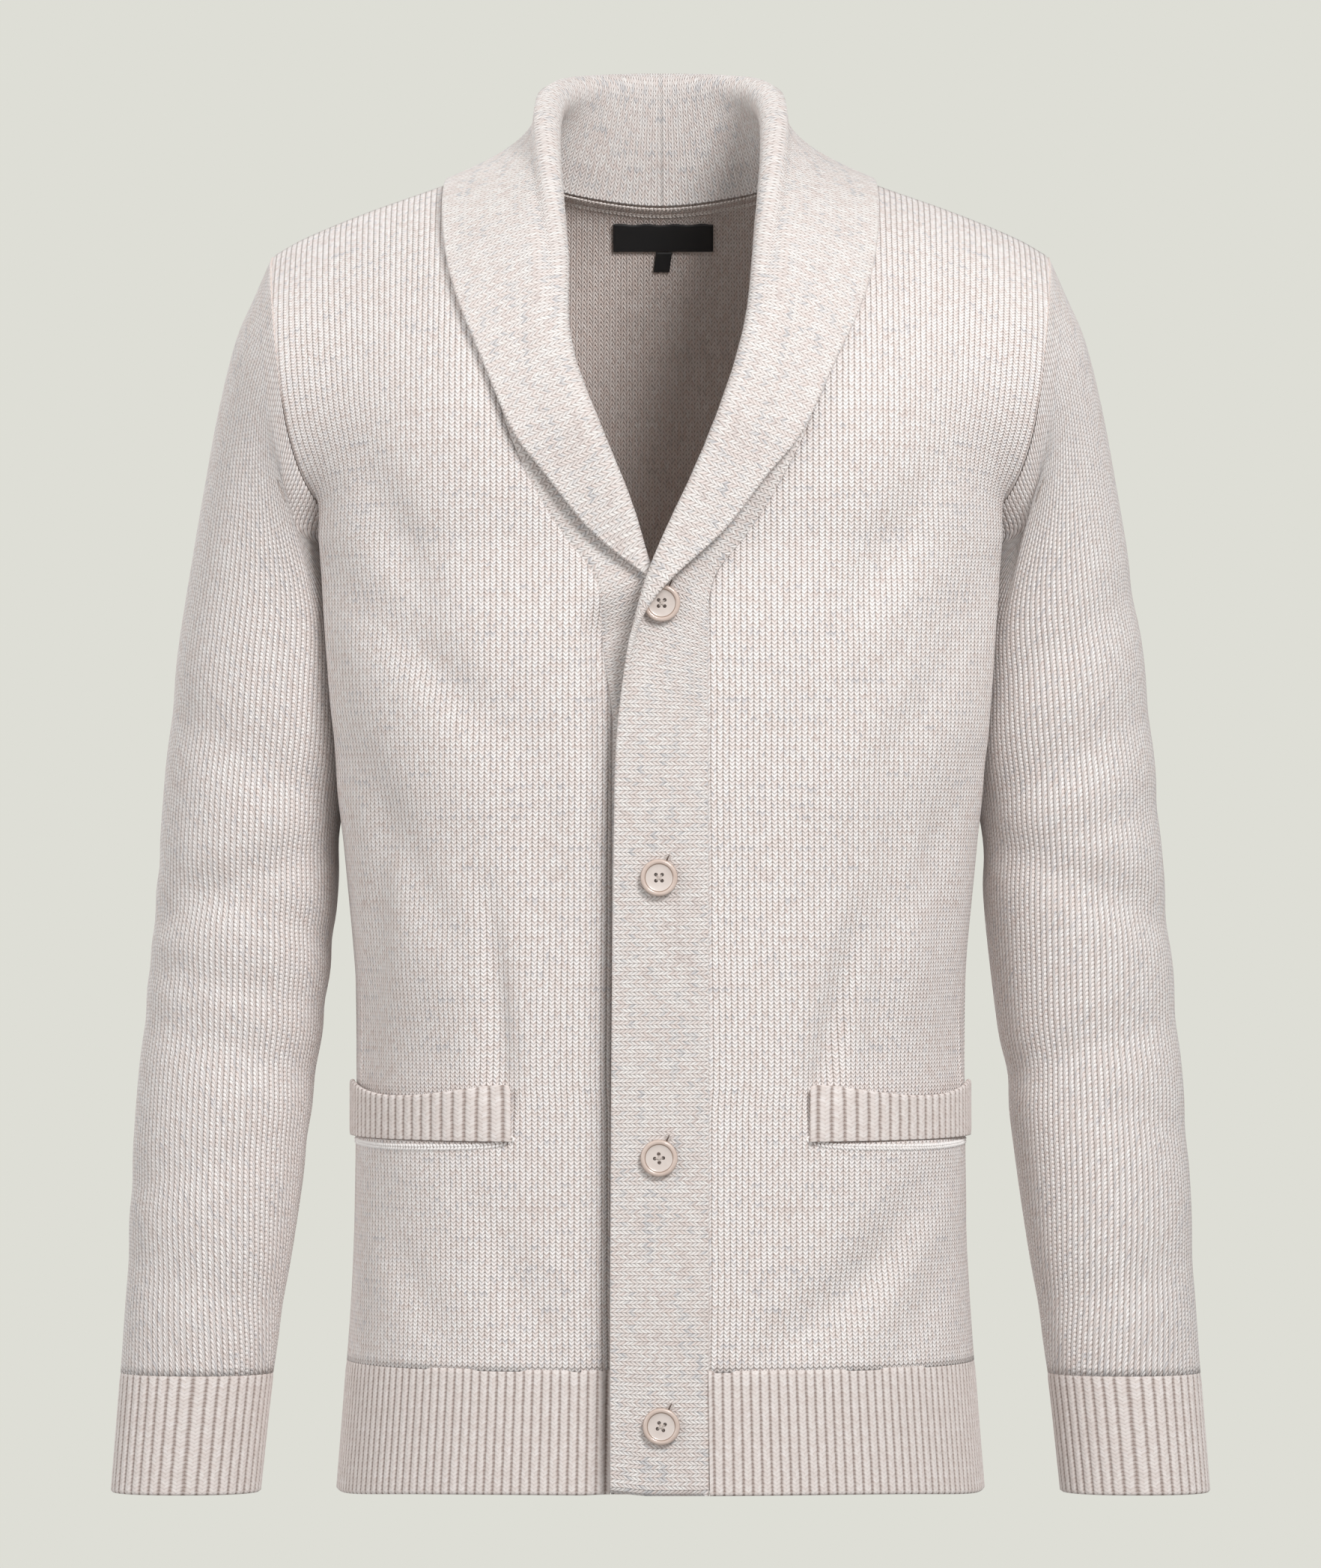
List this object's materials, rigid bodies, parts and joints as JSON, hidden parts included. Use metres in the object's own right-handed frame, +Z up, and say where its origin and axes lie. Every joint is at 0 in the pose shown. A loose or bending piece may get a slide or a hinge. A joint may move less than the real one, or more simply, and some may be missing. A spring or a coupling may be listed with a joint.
{
  "type": "shawl collar cardigan",
  "caption": "Hollow long-sleeved knitted cardigan with a rolled shawl collar, buttoned front band, ribbed hem and cuffs and two pockets with ribbed welts.",
  "frame": {"origin": "middle of the neck at the height of the shoulder seams' neck ends, where the shoulders carry the garment", "axes": "+Z up, -Y the front of the garment, +X the wearer's left"},
  "size_m": [0.6018, 0.2516, 0.7816],
  "materials": {
    "body_knit": "heathered off-white jersey knit, matt",
    "band_knit": "heathered off-white close knit, matt",
    "rib_knit": "heathered off-white rib knit, matt",
    "label_weave": "black woven tape, slight sheen",
    "horn": "pale horn-like polyester, polished"
  },
  "bodies": {
    "root": {"front_left": "body_knit", "front_right": "body_knit", "back": "body_knit", "sleeve_left": "body_knit", "sleeve_right": "body_knit", "hem_rib_left": "rib_knit", "hem_rib_right": "rib_knit", "hem_rib_back": "rib_knit", "cuff_left": "rib_knit", "cuff_right": "rib_knit", "collar_band_left": "band_knit", "collar_band_right": "band_knit", "pocket_welt_left": "rib_knit", "pocket_welt_right": "rib_knit", "pocket_bag_left": "body_knit", "pocket_bag_right": "body_knit", "neck_tape": "band_knit", "neck_label": "label_weave", "size_tab": "label_weave", "button_1": "horn", "button_2": "horn", "button_3": "horn", "button_4": "horn"}
  },
  "joints": []
}
